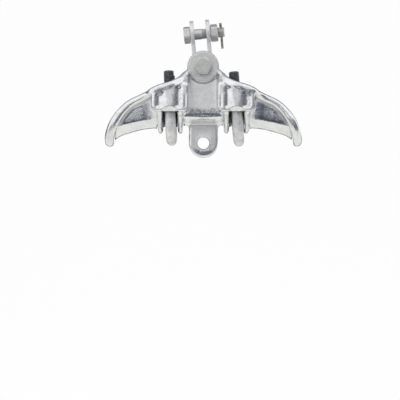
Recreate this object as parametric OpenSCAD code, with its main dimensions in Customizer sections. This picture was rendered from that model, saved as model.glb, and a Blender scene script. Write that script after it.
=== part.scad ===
/* [Body] */
// Length of the body along the conductor
body_l = 300; // [290:1:330]
// Radius of the conductor groove at its middle
groove_r = 17; // [14:0.5:18]
// Radius of the groove at its two mouths
mouth_r = 22; // [20:0.5:24]
// Radius of the long arc that the groove floor follows
sag_r = 400; // [360:5:480]
// Metal under the groove
floor_t = 8; // [7:0.5:10]
// How much thinner the metal under the groove is in the arms
arm_thinning = 3; // [0:0.5:3]
// Half width of the side walls at their lower crease
wall_y = 27; // [26:0.5:30]
// Half width over the flat panels between the bosses
panel_wall_y = 29.5; // [28:0.5:31]
// Radius of the rolled rim along the sides
rim_r = 6; // [5:0.5:7]
// Radius of the rolled rim round the mouths
mouth_rim_r = 7.5; // [6.5:0.5:8.5]
// Height of the rim at the outer end of the bolt bosses
shoulder_z = 27; // [25:0.5:30]

/* [Trunnion] */
// Height of the trunnion bolt over the conductor's axis
pivot_z = 60; // [56:1:68]
// Radius of the ear discs
ear_r = 24; // [22:0.5:27]
// Thickness of each ear
ear_t = 14.8; // [12:0.2:16]
// Width of the slot between the ears
ear_gap = 35.4; // [34:0.2:38]

/* [Bosses and ribs] */
// Distance of each U-bolt from the middle of the body
bolt_x = 50; // [47:0.5:54]
// Outer face of the bolt bosses, from the middle plane
boss_y = 54; // [53.5:0.5:57]
// Thickness of the frame edges on a boss
frame_w = 6.5; // [5:0.5:8]
// Height of the smooth brow over the sunk panels
brow = 0.5; // [0:0.5:5]
// Depth of the panels beside each boss column
panel_depth = 4.5; // [3:0.5:6]
// Thickness of the boss floor that the keeper lugs lie over
boss_floor_t = 8.5; // [7:0.5:12]
// Thickness of the ribs beside each U-bolt
rib_t = 8; // [7:0.5:9]
// Lowest point of the ribs below the conductor's axis
rib_drop = 39; // [37:0.5:41]

/* [Tie eye] */
// Width of the tongue under the body
tongue_w = 44.4; // [38:0.2:46]
// Thickness of the tongue
tongue_t = 16; // [12:0.5:18]
// Diameter of the hole in the tongue
tie_d = 18; // [14:0.5:22]
// Depth of the hole below the conductor's axis
tie_drop = 53.5; // [52:0.5:60]

/* [Bolts] */
// Diameter of every bolt and U-bolt
bolt_d = 16; // [14:0.5:16]
// Width of the nuts and bolt heads across their flats
hex_af = 24; // [22:0.5:24]
// Thickness of a nut
nut_t = 11.5; // [11:0.5:14.5]
// Thickness of a bolt head
head_t = 10; // [9:0.5:11]
// Extra diameter of the drilled holes for the link bolt and the trunnion bolt
hole_play = 1.2; // [0.8:0.1:1.6]
// Extra diameter of the cast holes for the U-bolt legs
leg_play = 3; // [2.8:0.1:3.6]
// Distance between the two legs of a U-bolt, centre to centre
leg_gap = 60; // [59:0.5:62]
// Lowest point of the U-bolts below the conductor's axis
u_drop = 57; // [55:0.5:62]
// Height of the U-bolt ends over the conductor's axis
u_top = 54; // [48:0.5:56]
// Lean of the loose left U-bolt to the left
left_lean = 2; // [0:0.5:4]
// Lean of the loose right U-bolt to the left
right_lean = 4.5; // [0:0.5:4.5]
// How much lower the loose right U-bolt hangs
right_sink = 1.5; // [0:0.5:2]
// Length of the link bolt beyond its nut
link_tail = 10; // [9:0.5:16]
// Length of the trunnion bolt beyond its nut
trunnion_tail = 15; // [10:0.5:18]
// Diameter of the cotter pins
cotter_d = 4; // [3.2:0.2:4.4]
// Length of a cotter pin below its eye
cotter_l = 33; // [26:0.5:36]

/* [Washers] */
// Outer diameter of the flat washers
washer_d = 30; // [27:0.5:30]
// Thickness of the flat washers
washer_t = 3; // [2:0.5:3.5]
// Thickness of the spring washers
spring_t = 4; // [3:0.5:4.5]

/* [Keeper] */
// Length of the keeper
keeper_l = 150; // [140:1:160]
// Half width of the keeper's bar
keeper_y = 12; // [10:0.5:13]
// Thickness of the lugs at their ends
lug_t = 9; // [8:0.5:11]
// Radius of the keeper's hollow underside
grip_r = 14.5; // [13:0.5:18]

/* [Hanger] */
// Thickness of the strap
strap_t = 6; // [5:0.5:6.5]
// Width of the strap
strap_w = 30; // [26:0.5:33]
// Clear distance between the strap's two legs
strap_gap = 18; // [17.6:0.2:20]
// Height of the link bolt over the trunnion bolt
hanger_h = 53.5; // [50:0.5:66]
// Radius of the strap's eyes
eye_r = 21; // [19:0.5:23]
// Lean of the hanger to the left
hanger_lean = 5; // [0:1:10]

/* [Hidden] */
$fn = 64;

fit_gap = 0.3;
bolt_r = bolt_d / 2;
hole_r = bolt_r + hole_play / 2;
leg_hole_r = bolt_r + leg_play / 2;
leg_y = leg_gap / 2;
hex_r = hex_af / 2 / cos(30);

// Groove: the floor sags along a long arc and the groove widens towards its mouths
mouth_x = body_l / 2 - mouth_rim_r;
flare_start = bolt_x + 35;
function arc_drop(x) = sag_r - sqrt(sag_r * sag_r - x * x);
function floor_z(x) = -groove_r - arc_drop(x);
function ease(t) = t <= 0 ? 0 : t >= 1 ? 1 : t * t * (3 - 2 * t);
function groove_at(x) = groove_r
    + (mouth_r - groove_r) * ease((abs(x) - flare_start) / (mouth_x - flare_start));
function under_z(x) = floor_z(x) - floor_t + arm_thinning * ease((abs(x) - bolt_x - 10) / 35);
function crease_z(x) = floor_z(x) - floor_t + 8.5 + 0.058 * abs(x);

// Rim: its centre line and radius from the ear, over the boss and down round the mouth
ear_in = ear_gap / 2;
ear_out = ear_in + ear_t;
mouth_z = floor_z(mouth_x) + mouth_r;
mouth_cr = mouth_r + mouth_rim_r + 0.5;
mouth_lean = 10.5;
mouth_curve = 1.6;
spring_x = mouth_x - mouth_lean;
boss_rim_r = rim_r + 0.5;
boss_rim_y = boss_y - boss_rim_r;
function mouth_point(a) = [mouth_x - mouth_lean * pow(1 - sin(a), mouth_curve),
    mouth_cr * cos(a), mouth_z - mouth_cr * sin(a), mouth_rim_r];
rim_knots = [
    [ear_r - 9, ear_in + rim_r, pivot_z - 3, rim_r],
    [bolt_x - 23, leg_y + 1, shoulder_z + 18.5, rim_r + 0.5],
    [bolt_x - 13, boss_rim_y - 5, shoulder_z + 9.5, rim_r + 0.3],
    [bolt_x - 2, boss_rim_y, shoulder_z + 3.5, boss_rim_r],
    [bolt_x + 12, boss_rim_y, shoulder_z - 0.8, boss_rim_r],
    [bolt_x + 23, boss_rim_y - 0.5, shoulder_z - 5.2, boss_rim_r],
    [bolt_x + 32, mouth_cr + 8, shoulder_z - 9.8, rim_r],
    [bolt_x + 42, mouth_cr + 2, shoulder_z - 14.2, rim_r],
    [spring_x - 23, mouth_cr + 0.5, mouth_z + 25.8, rim_r + 0.3],
    [spring_x - 10, mouth_cr, mouth_z + 14, rim_r + 0.9],
    for (a = [0, 22.5, 45, 67.5, 90]) mouth_point(a)];
function flip_y(p) = [p[0], -p[1], p[2], p[3]];
rim_loop = concat(rim_knots, [for (i = [len(rim_knots) - 2 : -1 : 0]) flip_y(rim_knots[i])]);
function blend(a, b, c, d, t) = 0.5 * (2 * b + (c - a) * t + (2 * a - 5 * b + 4 * c - d) * t * t
    + (3 * b - a - 3 * c + d) * t * t * t);
function smooth_path(p, n) = [
    for (i = [0 : len(p) - 2], s = [0 : n - 1])
        blend(p[max(i - 1, 0)], p[i], p[i + 1], p[min(i + 2, len(p) - 1)], s / n),
    p[len(p) - 1]];
rim_side = smooth_path([for (i = [0 : 10]) rim_knots[i]], 3);
function rim_value(x, k) = lookup(abs(x), [for (p = rim_side) [p[0], p[k]]]);
function rim_y(x) = rim_value(x, 1);
function rim_z(x) = rim_value(x, 2);
function wall_top(x) = max(rim_z(x), crease_z(x) + 4);

// Bosses
boss_in = bolt_x - 28;
boss_out = bolt_x + 26.5;
boss_bottom = -fit_gap - boss_floor_t;
pocket_r = washer_d / 2 + 2;
column_r = boss_y - leg_y;
channel_w = bolt_d + 6.4;
panel_y = boss_y - panel_depth;

// Keeper and what lies on its lugs
lug_bottom = 0;
lug_top = lug_bottom + lug_t;
u_tilt_z = (lug_top + boss_bottom) / 2;
function u_lean(side) = side < 0 ? left_lean : right_lean;
function u_sink(side) = side < 0 ? 0 : right_sink;
function washer_z(side) = u_tilt_z
    + (lug_top + fit_gap - u_tilt_z + washer_d / 2 * sin(u_lean(side))) / cos(u_lean(side));
function spring_z(side) = washer_z(side) + washer_t;
function nut_z(side) = spring_z(side) + spring_t;
bend_z = -u_drop + bolt_r + leg_y;
lift = 12;

// Hanger: its bend clears the trunnion bolt and the bolt hangs in it
bend_r = strap_gap / 2;
bend_up = bend_r - bolt_r - fit_gap;
link_grip = strap_gap / 2 + strap_t + fit_gap;
link_shank = 2 * link_grip + nut_t + link_tail;
trunnion_shank = 2 * (ear_out + fit_gap) + nut_t + trunnion_tail;
cotter_r = cotter_d / 2;

function unit(v) = v / norm(v);
function at(p) = [p[0], p[1], p[2]];

// Faces of a skin over rings of points, with both ends closed
function skin_faces(rings, n) = concat(
    [[for (k = [0 : n - 1]) k]],
    [for (i = [0 : rings - 2], k = [0 : n - 1])
        [i * n + k, (i + 1) * n + k, (i + 1) * n + (k + 1) % n]],
    [for (i = [0 : rings - 2], k = [0 : n - 1])
        [i * n + k, (i + 1) * n + (k + 1) % n, i * n + (k + 1) % n]],
    [[for (k = [n - 1 : -1 : 0]) (rings - 1) * n + k]]);

module skin(rings) {
    n = len(rings[0]);
    polyhedron([for (ring = rings) each ring], skin_faces(len(rings), n), convexity = 6);
}

// A round bar along a path of points that each carry a radius
module bar_along(path, sides) {
    last = len(path) - 1;
    lean = [0.55, 0, 0.83];
    skin([for (i = [0 : last])
        let (along = unit(at(path[min(i + 1, last)]) - at(path[max(i - 1, 0)])),
             u = unit(lean - (lean * along) * along),
             w = cross(along, u))
        [for (k = [0 : sides - 1])
            at(path[i]) + path[i][3] * (cos(360 * k / sides) * u + sin(360 * k / sides) * w)]]);
}

// Outer cross-section of the trough: flat leaning walls over a rounded keel
function keel_section(x) =
    let (rise = crease_z(x) - under_z(x),
         keel_r = (wall_y * wall_y + rise * rise) / (2 * rise),
         half = asin(wall_y / keel_r))
    concat(
        [for (k = [0 : 6]) let (a = half * (k / 3 - 1))
            [x, keel_r * sin(a), under_z(x) + keel_r - keel_r * cos(a)]],
        [[x, rim_y(x), wall_top(x)], [x, -rim_y(x), wall_top(x)]]);

// Inner cross-section: the round groove under walls that open to the rim
sky = pivot_z + ear_r + 40;
function groove_section(x) =
    let (r = groove_at(x), top_y = max(r, rim_value(x, 1) - rim_value(x, 3)))
    concat(
        [for (a = [180 : 20 : 360]) [x, r * cos(a), floor_z(x) + r + r * sin(a)]],
        [[x, top_y, wall_top(x)], [x, top_y, sky], [x, -top_y, sky], [x, -top_y, wall_top(x)]]);

station = 8;
module trough() {
    reach = ceil(mouth_x / station) * station;
    difference() {
        skin([for (x = [-reach : station : reach]) keel_section(x)]);
        for (side = [-1, 1])
            translate([side * spring_x, 0, mouth_z])
                rotate([0, -side * atan(mouth_lean / mouth_cr), 0])
                    translate([side * 50, 0, 0])
                        cube([100, 200, 300], center = true);
    }
}

module groove_space() {
    reach = (ceil(mouth_x / station) + 2) * station;
    skin([for (x = [-reach : station : reach]) groove_section(x)]);
}

// Front outline of a boss, up to the rim's centre line or lower by a drop
module boss_front(inset, corner, drop = 0) {
    ceiling = [for (i = [0 : 8]) let (x = boss_out + (boss_in - boss_out) * i / 8)
        [x, rim_z(x) - drop]];
    offset(r = corner, $fn = 20)
        offset(delta = -inset - corner)
            polygon(concat([[boss_in, boss_bottom], [boss_out, boss_bottom]], ceiling));
}

// Side outline of a boss: upright outside, then in under the rim towards the ear
module boss_side() {
    roof = [for (i = [0 : 6]) let (x = bolt_x + 12 - i * 6) [rim_y(x) + rim_r * 0.6, rim_z(x)]];
    edge = 2;
    polygon(concat([[0, boss_bottom], [boss_y - edge, boss_bottom], [boss_y, boss_bottom + edge]],
        roof, [[0, rim_z(0)]]));
}

module lift_front(from_y, to_y) {
    translate([0, to_y, 0])
        rotate([90, 0, 0])
            linear_extrude(to_y - from_y)
                children();
}

// A boss is its front outline met by its side outline, with a framed panel sunk in
// its outer face and the round column of the bolt standing in the panel
module boss() {
    intersection() {
        translate([boss_in - 1, 0, 0])
            rotate([90, 0, 90])
                linear_extrude(boss_out - boss_in + 2)
                    boss_side();
        union() {
            lift_front(0, panel_y)
                boss_front(0, 4);
            difference() {
                lift_front(panel_y - 1, boss_y - 0.6)
                    boss_front(0, 4);
                lift_front(panel_y - 2, boss_y + 1)
                    boss_front(frame_w, 3, brow);
            }
            intersection() {
                lift_front(0, boss_y)
                    boss_front(0, 4);
                translate([bolt_x, leg_y, boss_bottom])
                    cylinder(r = column_r, h = sky, $fn = 40);
            }
        }
    }
}

// Room for the lug, washers and nuts, open to the top
module pocket() {
    translate([bolt_x, 0, -fit_gap])
        linear_extrude(sky) {
            square([2 * pocket_r, leg_gap], center = true);
            for (side = [-1, 1])
                translate([0, side * leg_y])
                    circle(pocket_r, $fn = 36);
        }
}

// Flat walls between the bosses, thicker than the trough's own
module centre_wall() {
    foot = crease_z(0) + 13.5;
    toe = crease_z(0) + 1.5;
    translate([-boss_in - 2, 0, 0])
        rotate([90, 0, 90])
            linear_extrude(2 * boss_in + 4)
                polygon([[-wall_y + 1, toe], [wall_y - 1, toe], [panel_wall_y, foot],
                    [panel_wall_y, pivot_z - ear_r / 2], [-panel_wall_y, pivot_z - ear_r / 2],
                    [-panel_wall_y, foot]]);
}

// Cross ribs under the trough: round discs whose upper part is inside the bosses
module rib(x) {
    disc_r = 42;
    intersection() {
        translate([x, 0, disc_r - rib_drop])
            rotate([0, 90, 0])
                rotate_extrude($fn = 40)
                    polygon([[0, -rib_t / 2], [disc_r - 3, -rib_t / 2], [disc_r, -rib_t / 6],
                        [disc_r, rib_t / 6], [disc_r - 3, rib_t / 2], [0, rib_t / 2]]);
        translate([x - rib_t, -boss_y, -rib_drop - 5])
            cube([2 * rib_t, 2 * boss_y, rib_drop + boss_bottom + 10]);
    }
}

// The way of a U-bolt's bend under the trough, up to its tightened place
module bend_channel() {
    inside = leg_y - bolt_r - 0.5;
    translate([bolt_x - channel_w / 2, 0, 0])
        rotate([90, 0, 90])
            linear_extrude(channel_w)
                difference() {
                    translate([-boss_y, -120])
                        square([2 * boss_y, 120 + boss_bottom]);
                    translate([0, bend_z + lift])
                        circle(inside, $fn = 36);
                    translate([-inside, bend_z + lift])
                        square([2 * inside, 60]);
                }
}

module tongue() {
    edge = 2.5;
    module outline() {
        circle(tongue_w / 2, $fn = 40);
        translate([-tongue_w / 2, 0])
            square([tongue_w, tie_drop + floor_z(0) - 3]);
    }
    translate([0, tongue_t / 2, -tie_drop])
        rotate([90, 0, 0])
            hull() {
                linear_extrude(tongue_t)
                    offset(delta = -edge)
                        outline();
                translate([0, 0, edge])
                    linear_extrude(tongue_t - 2 * edge)
                        outline();
            }
}

module ear() {
    edge = 1.5;
    translate([0, ear_out, pivot_z])
        rotate([90, 0, 0]) {
            translate([0, 0, edge])
                cylinder(r = ear_r, h = ear_t - edge, $fn = 48);
            cylinder(r1 = ear_r - edge, r2 = ear_r, h = edge, $fn = 48);
        }
}

// The whole casting before its round holes are drilled
module rough_body() {
    difference() {
        union() {
            trough();
            for (side = [0, 1])
                mirror([side, 0, 0]) {
                    bar_along(smooth_path(rim_loop, 2), 10);
                    for (back = [0, 1])
                        mirror([0, back, 0])
                            boss();
                    for (x = [-1, 1])
                        rib(bolt_x + x * (channel_w + rib_t) / 2);
                }
            centre_wall();
            tongue();
        }
        groove_space();
        for (side = [0, 1])
            mirror([side, 0, 0]) {
                pocket();
                bend_channel();
            }
    }
    ear();
    mirror([0, 1, 0])
        ear();
}

module clamp_body() {
    color([0.83, 0.84, 0.85])
        difference() {
            resize([body_l, 0, 0])
                rough_body();
            translate([0, ear_out + 1, pivot_z])
                rotate([90, 0, 0])
                    cylinder(r = hole_r, h = 2 * ear_out + 2);
            for (x = [-bolt_x, bolt_x], y = [-leg_y, leg_y])
                translate([x, y, boss_bottom - 1])
                    cylinder(r = leg_hole_r, h = boss_floor_t + 2);
            translate([0, tongue_t / 2 + 1, -tie_drop])
                rotate([90, 0, 0])
                    cylinder(d = tie_d, h = tongue_t + 2);
        }
}

// A plan outline of one lug pair: straight across the bar with round ends over the legs
module lug_plan(width, reach) {
    square([width, 2 * reach], center = true);
    for (side = [-1, 1])
        translate([0, side * reach])
            circle(d = width);
}

module keeper() {
    centre_r = sag_r + groove_r;
    bar_bottom = -sqrt(groove_r * groove_r - keeper_y * keeper_y) + 2 * fit_gap;
    bar_top = lug_top + arc_drop(bolt_x);
    span = asin(keeper_l / 2 / centre_r);
    chamfer = 2;
    half_grip = keeper_y - 2;
    grip_z = bar_bottom - sqrt(grip_r * grip_r - half_grip * half_grip);
    color([0.80, 0.81, 0.82])
        difference() {
            union() {
                translate([0, 0, -centre_r])
                    rotate([90, 0, 0])
                        rotate_extrude(angle = 2 * span, start = 90 - span, $fn = 128)
                            translate([centre_r, 0])
                                polygon([
                                    [bar_bottom, -keeper_y], [bar_bottom, keeper_y],
                                    [bar_top - chamfer, keeper_y], [bar_top, keeper_y - chamfer],
                                    [bar_top, chamfer - keeper_y], [bar_top - chamfer, -keeper_y]]);
                for (x = [-bolt_x, bolt_x])
                    translate([x, 0, lug_bottom])
                        linear_extrude(lug_t)
                            lug_plan(washer_d + 1, leg_y);
            }
            translate([0, 0, -centre_r])
                rotate([90, 0, 0])
                    rotate_extrude($fn = 128)
                        translate([centre_r + grip_z, 0])
                            circle(grip_r);
            for (x = [-bolt_x, bolt_x], y = [-leg_y, leg_y])
                translate([x, y, lug_bottom - 1])
                    cylinder(r = leg_hole_r, h = lug_t + 2);
        }
}

module hanger_place() {
    translate([0, 0, pivot_z])
        rotate([0, -hanger_lean, 0])
            children();
}

// One leg of the strap seen along the link bolt: a round eye that necks into the stem
module leg_outline() {
    neck_r = 10;
    half_w = strap_w / 2;
    neck_drop = sqrt(pow(eye_r + neck_r, 2) - pow(half_w + neck_r, 2));
    touch = eye_r / (eye_r + neck_r);
    translate([0, hanger_h])
        circle(eye_r);
    translate([-half_w, bend_up])
        square([strap_w, hanger_h - bend_up]);
    difference() {
        translate([-(half_w + neck_r) * touch, hanger_h - neck_drop])
            square([2 * (half_w + neck_r) * touch, neck_drop * (1 - touch)]);
        for (side = [-1, 1])
            translate([side * (half_w + neck_r), hanger_h - neck_drop])
                circle(neck_r);
    }
}

module hanger_strap() {
    outer_r = bend_r + strap_t;
    color([0.80, 0.80, 0.79])
        hanger_place()
            difference() {
                union() {
                    for (x = [-outer_r, bend_r])
                        translate([x, 0, 0])
                            rotate([90, 0, 90])
                                linear_extrude(strap_t)
                                    leg_outline();
                    translate([0, strap_w / 2, bend_up])
                        rotate([90, 0, 0])
                            rotate([0, 0, 180])
                                linear_extrude(strap_w)
                                    intersection() {
                                        difference() {
                                            circle(outer_r);
                                            circle(bend_r);
                                        }
                                        translate([-outer_r, 0])
                                            square([2 * outer_r, outer_r]);
                                    }
                }
                translate([-outer_r - 1, 0, hanger_h])
                    rotate([0, 90, 0])
                        cylinder(r = hole_r, h = 2 * outer_r + 2);
            }
}

// A hexagon bolt along +Z from under its head, with a cross hole along X near its end
module hex_bolt(shank_l, pin_at, turn) {
    flat_r = hex_af / 2 - 0.3;
    chamfer = 1.5;
    difference() {
        union() {
            rotate([0, 0, turn])
                translate([0, 0, -head_t])
                    intersection() {
                        cylinder(r = hex_r, h = head_t, $fn = 6);
                        cylinder(r1 = flat_r, r2 = flat_r + 3 * head_t, h = 3 * head_t);
                    }
            cylinder(r = bolt_r, h = shank_l - chamfer);
            translate([0, 0, shank_l - chamfer])
                cylinder(r1 = bolt_r, r2 = bolt_r - chamfer, h = chamfer);
        }
        translate([0, 0, pin_at])
            rotate([0, 90, 0])
                cylinder(r = cotter_r + 0.3, h = bolt_d + 2, center = true);
    }
}

module hex_nut() {
    flat_r = hex_af / 2 - 0.3;
    difference() {
        intersection() {
            cylinder(r = hex_r, h = nut_t, $fn = 6);
            cylinder(r1 = flat_r, r2 = flat_r + 3 * nut_t, h = 3 * nut_t);
            translate([0, 0, -2 * nut_t])
                cylinder(r1 = flat_r + 3 * nut_t, r2 = flat_r, h = 3 * nut_t);
        }
        translate([0, 0, -1])
            cylinder(r = bolt_r + 0.05, h = nut_t + 2);
    }
}

// A split pin down -Z through a bolt along Y: a looped eye, a shank and two spread tips
module cotter_pin() {
    wire_r = cotter_r * 0.55;
    ring_r = cotter_r + 0.2;
    tip_l = 7;
    straight = cotter_l - tip_l;
    translate([0, 0, bolt_r + fit_gap]) {
        translate([0, 0, ring_r + wire_r])
            rotate([90, 0, 0])
                rotate_extrude()
                    translate([ring_r, 0])
                        circle(wire_r, $fn = 24);
        translate([0, 0, -straight])
            cylinder(r = cotter_r, h = straight + wire_r);
        for (side = [-1, 1])
            translate([side * cotter_r * 0.4, 0, 1 - straight])
                rotate([0, -side * 12, 0])
                    translate([0, 0, -tip_l - 1])
                        cylinder(r = wire_r, h = tip_l + 1);
    }
}

module link_bolt() {
    color([0.70, 0.69, 0.66])
        hanger_place()
            translate([-link_grip, 0, hanger_h])
                rotate([0, 90, 0])
                    hex_bolt(link_shank, link_shank - link_tail / 2, 20);
}

module link_nut() {
    color([0.72, 0.71, 0.67])
        hanger_place()
            translate([link_grip, 0, hanger_h])
                rotate([0, 90, 0])
                    rotate([0, 0, 30])
                        hex_nut();
}

module link_cotter_pin() {
    color([0.42, 0.40, 0.36])
        hanger_place()
            translate([link_grip + nut_t + link_tail / 2, 0, hanger_h])
                rotate([0, 0, 90])
                    cotter_pin();
}

module trunnion_bolt() {
    color([0.68, 0.68, 0.66])
        translate([0, -ear_out - fit_gap, pivot_z])
            rotate([-90, 90, 0])
                hex_bolt(trunnion_shank, trunnion_shank - trunnion_tail / 2, 28);
}

module trunnion_nut() {
    color([0.70, 0.70, 0.68])
        translate([0, ear_out + fit_gap, pivot_z])
            rotate([-90, 0, 0])
                hex_nut();
}

module trunnion_cotter_pin() {
    color([0.42, 0.40, 0.36])
        translate([0, ear_out + fit_gap + nut_t + trunnion_tail / 2, pivot_z])
            cotter_pin();
}

// Place for a U-bolt and what is on it, leaning about the middle of its holes
module u_place(side) {
    translate([side * bolt_x, 0, u_tilt_z])
        rotate([0, -u_lean(side), 0])
            translate([0, 0, -u_tilt_z])
                children();
}

module u_bolt(side) {
    chamfer = 2;
    leg_l = u_top - chamfer - bend_z;
    color([0.80, 0.80, 0.79])
        u_place(side)
            translate([0, 0, bend_z - u_sink(side)]) {
                rotate([90, 0, 90])
                    rotate_extrude(angle = 180, start = 180)
                        translate([leg_y, 0])
                            circle(bolt_r);
                for (y = [-leg_y, leg_y])
                    translate([0, y, 0]) {
                        cylinder(r = bolt_r, h = leg_l);
                        translate([0, 0, leg_l])
                            cylinder(r1 = bolt_r, r2 = bolt_r - chamfer, h = chamfer);
                    }
            }
}

module u_nut(side, end) {
    color([0.72, 0.72, 0.70])
        u_place(side)
            translate([0, end * leg_y, nut_z(side)])
                rotate([0, 0, 10 * side + 17 * end])
                    hex_nut();
}

module spring_washer(side, end) {
    outer_r = bolt_r + 4.2;
    color([0.62, 0.62, 0.60])
        u_place(side)
            translate([0, end * leg_y, spring_z(side)])
                difference() {
                    cylinder(r = outer_r, h = spring_t);
                    translate([0, 0, -1])
                        cylinder(r = bolt_r + 0.25, h = spring_t + 2);
                    rotate([0, 25, 70])
                        translate([0, -0.8, -spring_t])
                            cube([outer_r + 4, 1.6, 4 * spring_t]);
                }
}

module flat_washer(side, end) {
    color([0.76, 0.76, 0.75])
        u_place(side)
            translate([0, end * leg_y, washer_z(side)])
                difference() {
                    cylinder(d = washer_d, h = washer_t);
                    translate([0, 0, -1])
                        cylinder(r = bolt_r + 0.5, h = washer_t + 2);
                }
}

clamp_body();
keeper();
hanger_strap();
link_bolt();
link_nut();
link_cotter_pin();
trunnion_bolt();
trunnion_nut();
trunnion_cotter_pin();
u_bolt(-1);  // u_bolt_left
u_bolt(1);  // u_bolt_right
u_nut(-1, -1);  // nut_left_front
u_nut(-1, 1);  // nut_left_rear
u_nut(1, -1);  // nut_right_front
u_nut(1, 1);  // nut_right_rear
spring_washer(-1, -1);  // spring_washer_left_front
spring_washer(-1, 1);  // spring_washer_left_rear
spring_washer(1, -1);  // spring_washer_right_front
spring_washer(1, 1);  // spring_washer_right_rear
flat_washer(-1, -1);  // flat_washer_left_front
flat_washer(-1, 1);  // flat_washer_left_rear
flat_washer(1, -1);  // flat_washer_right_front
flat_washer(1, 1);  // flat_washer_right_rear
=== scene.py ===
from math import asin, atan, atan2, cos, degrees, hypot, pi, radians, sin, sqrt
import bmesh
import bpy
import numpy as np
from mathutils import Euler, Matrix, Vector


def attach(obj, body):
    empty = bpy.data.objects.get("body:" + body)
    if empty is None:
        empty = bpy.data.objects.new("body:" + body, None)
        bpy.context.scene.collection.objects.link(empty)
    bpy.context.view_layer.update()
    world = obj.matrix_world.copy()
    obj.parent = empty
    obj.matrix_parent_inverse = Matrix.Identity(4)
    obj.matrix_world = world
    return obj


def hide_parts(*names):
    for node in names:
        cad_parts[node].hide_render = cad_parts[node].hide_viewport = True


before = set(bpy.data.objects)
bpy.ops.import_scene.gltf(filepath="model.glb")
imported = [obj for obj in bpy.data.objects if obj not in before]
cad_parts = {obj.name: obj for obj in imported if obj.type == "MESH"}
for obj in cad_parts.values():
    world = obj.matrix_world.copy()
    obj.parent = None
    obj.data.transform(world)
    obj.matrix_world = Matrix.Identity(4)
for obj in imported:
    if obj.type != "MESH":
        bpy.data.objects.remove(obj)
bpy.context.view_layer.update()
mm = 0.001
print("frame loaded,", len(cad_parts), "nodes")


# Mesh tools. Shapes are drawn in millimetres, and finishPiece() brings them to metres.

def addObject(name, data):
    made = bpy.data.objects.new(name, data)
    bpy.context.collection.objects.link(made)
    return made


def makeMesh(verts, faces, name="shape"):
    mesh = bpy.data.meshes.new(name)
    mesh.from_pydata([tuple(v) for v in verts], [], faces)
    bm = bmesh.new()
    bm.from_mesh(mesh)
    bmesh.ops.recalc_face_normals(bm, faces=bm.faces)
    bm.to_mesh(mesh)
    bm.free()
    return addObject(name, mesh)


def addModifier(shape, kind, **settings):
    step = shape.modifiers.new(kind.lower(), kind)
    for key, value in settings.items():
        setattr(step, key, value)


def applyModifiers(shape):
    graph = bpy.context.evaluated_depsgraph_get()
    mesh = bpy.data.meshes.new_from_object(shape.evaluated_get(graph))
    shape.modifiers.clear()
    former = shape.data
    shape.data = mesh
    bpy.data.meshes.remove(former)
    return shape


def combine(shape, tools, operation):
    for tool in tools:
        addModifier(shape, "BOOLEAN", operation=operation, solver="MANIFOLD", object=tool)
        applyModifiers(shape)
        bpy.data.objects.remove(tool)
    return shape


def union(shape, *tools):
    return combine(shape, tools, "UNION")


def subtract(shape, *tools):
    return combine(shape, tools, "DIFFERENCE")


def intersect(shape, *tools):
    return combine(shape, tools, "INTERSECT")


def placed(shape, matrix):
    shape.data.transform(matrix)
    if matrix.determinant() < 0:
        shape.data.flip_normals()
    return shape


def twin(shape, matrix):
    return placed(addObject("twin", shape.data.copy()), matrix)


def turn(angle, axis):
    return Matrix.Rotation(radians(angle), 4, axis)


def shift(x, y, z):
    return Matrix.Translation((x, y, z))


mirrorX = Matrix.Diagonal((-1, 1, 1, 1))
mirrorY = Matrix.Diagonal((1, -1, 1, 1))


def inFourPlaces(shape):
    return [twin(shape, m) for m in (mirrorX, mirrorY, mirrorX @ mirrorY)] + [shape]


def skin(rings, loop=False):
    n, count, last = len(rings[0]), len(rings), len(rings) - 1
    verts = [p for ring in rings for p in ring]
    faces = [(i * n + k, (i + 1) % count * n + k, (i + 1) % count * n + (k + 1) % n, i * n + (k + 1) % n)
             for i in range(count if loop else last) for k in range(n)]
    if not loop:
        faces += [tuple(reversed(range(n))), tuple(last * n + k for k in range(n))]
    return makeMesh(verts, faces)


def prismX(outline, fromX, toX):  # outline in y, z
    return skin([[(x, y, z) for y, z in outline] for x in (fromX, toX)])


def prismY(outline, fromY, toY):  # outline in x, z
    return skin([[(x, y, z) for x, z in outline] for y in (fromY, toY)])


def prismZ(outline, fromZ, toZ):  # outline in x, y
    return skin([[(x, y, z) for x, y in outline] for z in (fromZ, toZ)])


def box(low, high):
    (a, b, c), (d, e, f) = low, high
    return prismZ([(a, b), (d, b), (d, e), (a, e)], c, f)


def arc(cx, cy, r, start, stop, steps):
    angles = [radians(start + (stop - start) * i / steps) for i in range(steps + 1)]
    return [(cx + r * cos(a), cy + r * sin(a)) for a in angles]


def circle(r, steps=96, cx=0, cy=0):
    return arc(cx, cy, r, 0, 360, steps)[:-1]


def rod(r, fromZ, toZ, steps=72):
    return prismZ(circle(r, steps), fromZ, toZ)


def turned(stations, sides=96, loop=False):  # stations of (z, radius)
    return skin([[(x, y, z) for x, y in circle(radius, sides)] for z, radius in stations], loop)


# An outline drawn counter-clockwise, with its outer corners rounded; some have a radius of their own
def roundOutline(points, radius, own=None):
    n, out, normals = len(points), [], []
    for i in range(n):
        (x0, y0), (x1, y1) = points[i], points[(i + 1) % n]
        length = hypot(x1 - x0, y1 - y0)
        normals.append(((y1 - y0) / length, (x0 - x1) / length))
    for i in range(n):
        (ax, ay), (bx, by), (x, y) = normals[i - 1], normals[i], points[i]
        bend = atan2(ax * by - ay * bx, ax * bx + ay * by)
        if bend < 0.3:
            out.append((x, y))
            continue
        corner = (own or {}).get(i, radius)
        scale = corner / (1 + ax * bx + ay * by)
        cx, cy = x - (ax + bx) * scale, y - (ay + by) * scale
        start, steps = atan2(ay, ax), max(2, round(bend / 0.2))
        turns = [start + bend * s / steps for s in range(steps + 1)]
        out += [(cx + corner * cos(a), cy + corner * sin(a)) for a in turns]
    return out


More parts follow.
